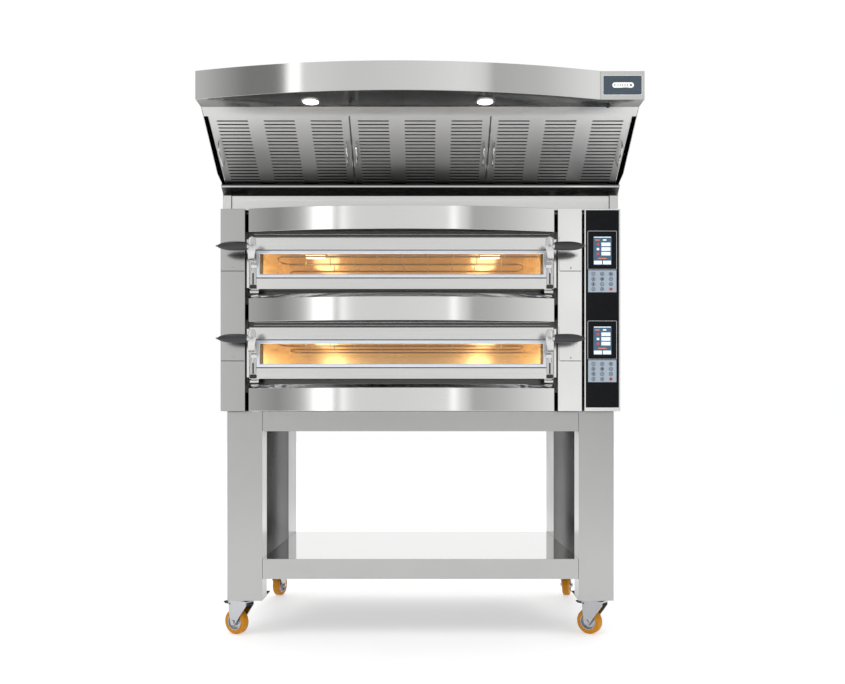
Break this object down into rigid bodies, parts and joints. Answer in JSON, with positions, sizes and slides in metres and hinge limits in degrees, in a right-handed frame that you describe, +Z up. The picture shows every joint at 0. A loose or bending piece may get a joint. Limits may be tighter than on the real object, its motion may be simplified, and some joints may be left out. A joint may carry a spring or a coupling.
{
  "type": "pizza deck oven",
  "caption": "Free-standing stacked-deck electric pizza oven with bowed steel fascias, drop-down glazed doors, touch controls, extraction hood, open stand and swivel casters.",
  "frame": {"origin": "bottom centre of the whole object's box, on the floor", "axes": "+Z up, the front faces -Y, +X towards the control column"},
  "size_m": [1.5488, 1.5, 2.0856],
  "materials": {
    "brushed_steel": "brushed stainless sheet",
    "filter_steel": "satin stainless, punched",
    "stand_steel": "satin stainless sheet",
    "shelf_steel": "polished stainless sheet",
    "lever_chrome": "polished",
    "chamber_steel": "heat-tinted steel",
    "baking_stone": "matte refractory",
    "element_sheath": "oxidised sheath",
    "window_glass": "clear, amber-lit from inside",
    "grip_black": "satin black",
    "control_glass": "black glass",
    "control_panel": "membrane keypad and screen",
    "caster_zinc": "zinc plated",
    "wheel_polyurethane": "amber polyurethane",
    "motor_black": "matte black",
    "lamp_lens": "frosted lens"
  },
  "bodies": {
    "oven": {"baking_stone_lower": "baking_stone", "baking_stone_upper": "baking_stone", "base_pan": "brushed_steel", "casing_cover": "brushed_steel", "chamber_lower": "chamber_steel", "chamber_upper": "chamber_steel", "column_cover_left": "brushed_steel", "column_cover_right": "brushed_steel", "control_glass": "control_glass", "control_housing": "brushed_steel", "control_panel_lower": "control_panel", "control_panel_upper": "control_panel", "duct_collar": "brushed_steel", "fan_motor": "motor_black", "fascia_bottom": "brushed_steel", "fascia_middle": "brushed_steel", "fascia_top": "brushed_steel", "heating_element_lower": "element_sheath", "heating_element_upper": "element_sheath", "hood_control_box": "brushed_steel", "hood_fascia": "brushed_steel", "hood_gutter": "brushed_steel", "hood_shell": "brushed_steel", "hood_soffit": "brushed_steel", "leg_front_left": "stand_steel", "leg_front_right": "stand_steel", "leg_rear_left": "stand_steel", "leg_rear_right": "stand_steel", "shelf": "shelf_steel", "side_panel_left": "brushed_steel", "side_panel_right": "brushed_steel", "spotlight_left": "lamp_lens", "spotlight_right": "lamp_lens", "top_frame": "stand_steel"},
    "door_upper": {"door_frame_upper": "brushed_steel", "door_glass_upper": "window_glass", "door_lever_upper_left": "lever_chrome", "door_lever_upper_right": "lever_chrome", "door_grip_upper_left": "grip_black", "door_grip_upper_right": "grip_black"},
    "door_lower": {"door_frame_lower": "brushed_steel", "door_glass_lower": "window_glass", "door_lever_lower_left": "lever_chrome", "door_lever_lower_right": "lever_chrome", "door_grip_lower_left": "grip_black", "door_grip_lower_right": "grip_black"},
    "caster_front_left": {"caster_fork_front_left": "caster_zinc"},
    "wheel_front_left": {"caster_wheel_front_left": "wheel_polyurethane"},
    "caster_front_right": {"caster_fork_front_right": "caster_zinc"},
    "wheel_front_right": {"caster_wheel_front_right": "wheel_polyurethane"},
    "caster_rear_left": {"caster_fork_rear_left": "caster_zinc"},
    "wheel_rear_left": {"caster_wheel_rear_left": "wheel_polyurethane"},
    "caster_rear_right": {"caster_fork_rear_right": "caster_zinc"},
    "wheel_rear_right": {"caster_wheel_rear_right": "wheel_polyurethane"},
    "pedal_left": {"brake_pedal_left": "caster_zinc"},
    "pedal_right": {"brake_pedal_right": "caster_zinc"},
    "filter_left": {"grease_filter_left": "filter_steel"},
    "filter_centre": {"grease_filter_centre": "filter_steel"},
    "filter_right": {"grease_filter_right": "filter_steel"},
    "fan_rotor": {"fan_impeller": "brushed_steel"}
  },
  "joints": [
    {"name": "door_upper_hinge", "type": "hinge", "parent": "oven", "child": "door_upper", "pos_m": [-0.06114, -0.256, 1.34], "axis": [1, 0, 0], "range_deg": [0, 85]},
    {"name": "door_lower_hinge", "type": "hinge", "parent": "oven", "child": "door_lower", "pos_m": [-0.06114, -0.256, 0.997], "axis": [1, 0, 0], "range_deg": [0, 85]},
    {"name": "caster_front_left_swivel", "type": "hinge", "parent": "oven", "child": "caster_front_left", "pos_m": [-0.68864, -0.145, 0], "axis": [0, 0, 1], "continuous": true},
    {"name": "wheel_front_left_spin", "type": "hinge", "parent": "caster_front_left", "child": "wheel_front_left", "pos_m": [-0.71896, -0.1275, 0.05], "axis": [-0.5, -0.866, 0], "continuous": true},
    {"name": "caster_front_right_swivel", "type": "hinge", "parent": "oven", "child": "caster_front_right", "pos_m": [0.71135, -0.145, 0], "axis": [0, 0, 1], "continuous": true},
    {"name": "wheel_front_right_spin", "type": "hinge", "parent": "caster_front_right", "child": "wheel_front_right", "pos_m": [0.68415, -0.12297, 0.05], "axis": [-0.6293, -0.7771, 0], "continuous": true},
    {"name": "caster_rear_left_swivel", "type": "hinge", "parent": "oven", "child": "caster_rear_left", "pos_m": [-0.68864, 0.655, 0], "axis": [0, 0, 1], "continuous": true},
    {"name": "wheel_rear_left_spin", "type": "hinge", "parent": "caster_rear_left", "child": "wheel_rear_left", "pos_m": [-0.67841, 0.68847, 0.05], "axis": [-0.9563, 0.2924, 0], "continuous": true},
    {"name": "caster_rear_right_swivel", "type": "hinge", "parent": "oven", "child": "caster_rear_right", "pos_m": [0.71135, 0.655, 0], "axis": [0, 0, 1], "continuous": true},
    {"name": "wheel_rear_right_spin", "type": "hinge", "parent": "caster_rear_right", "child": "wheel_rear_right", "pos_m": [0.72159, 0.68847, 0.05], "axis": [-0.9563, 0.2924, 0], "continuous": true},
    {"name": "brake_pedal_left_press", "type": "hinge", "parent": "caster_front_left", "child": "pedal_left", "pos_m": [-0.73195, -0.12, 0.122], "axis": [-0.5, -0.866, 0], "range_deg": [0, 14]},
    {"name": "brake_pedal_right_press", "type": "hinge", "parent": "caster_front_right", "child": "pedal_right", "pos_m": [0.6725, -0.11353, 0.122], "axis": [-0.6293, -0.7771, 0], "range_deg": [0, 14]},
    {"name": "filter_left_lift", "type": "slide", "parent": "oven", "child": "filter_left", "axis": [0, -0.8604, 0.5097], "range_m": [0, 0.018]},
    {"name": "filter_centre_lift", "type": "slide", "parent": "oven", "child": "filter_centre", "axis": [0, -0.8604, 0.5097], "range_m": [0, 0.018]},
    {"name": "filter_right_lift", "type": "slide", "parent": "oven", "child": "filter_right", "axis": [0, -0.8604, 0.5097], "range_m": [0, 0.018]},
    {"name": "fan_spin", "type": "hinge", "parent": "oven", "child": "fan_rotor", "pos_m": [0.01136, 0.03, 1.7676], "axis": [0, 0, 1], "continuous": true}
  ]
}
